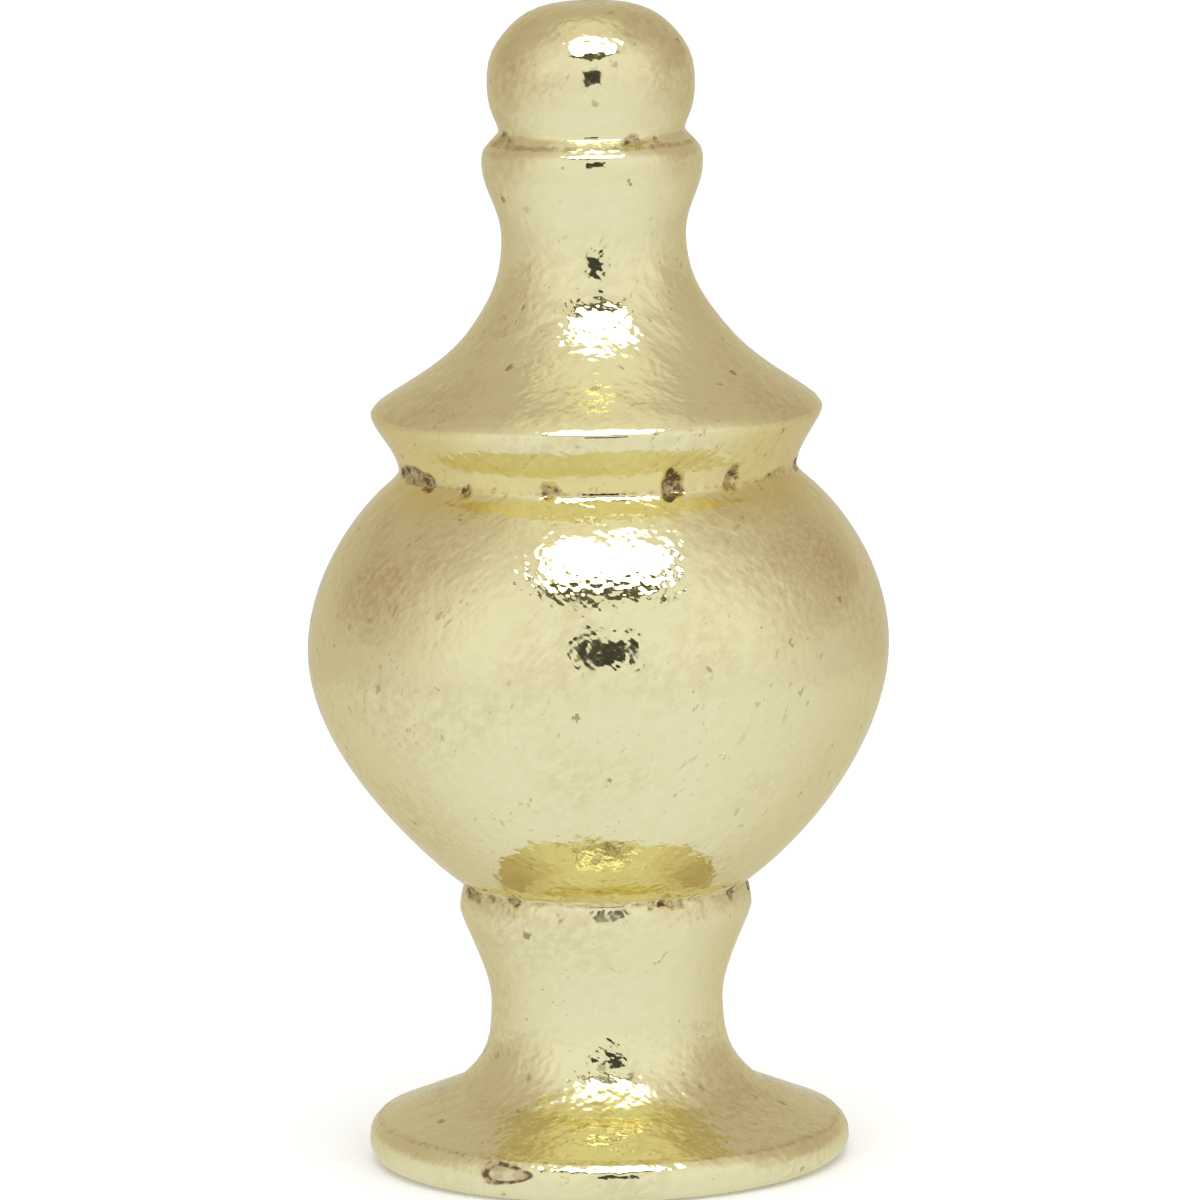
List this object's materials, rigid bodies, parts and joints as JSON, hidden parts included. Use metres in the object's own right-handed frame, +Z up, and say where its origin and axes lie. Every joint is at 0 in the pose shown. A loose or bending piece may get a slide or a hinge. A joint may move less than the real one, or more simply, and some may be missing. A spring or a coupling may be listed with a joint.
{
  "type": "lamp finial",
  "caption": "Turned brass lamp finial shaped as a small covered urn: flared foot, collared stem, round bowl, swept lid and ball knob, with a threaded socket underneath.",
  "frame": {"origin": "centre of the flat underside of the foot", "axes": "+Z up the axis of turning, from the foot to the knob; -Y is the pictured front"},
  "size_m": [0.0222, 0.0222, 0.0444],
  "materials": {
    "brass": "cast and turned, worn polish, pale yellow"
  },
  "bodies": {
    "root": {"urn_finial": "brass"}
  },
  "joints": []
}
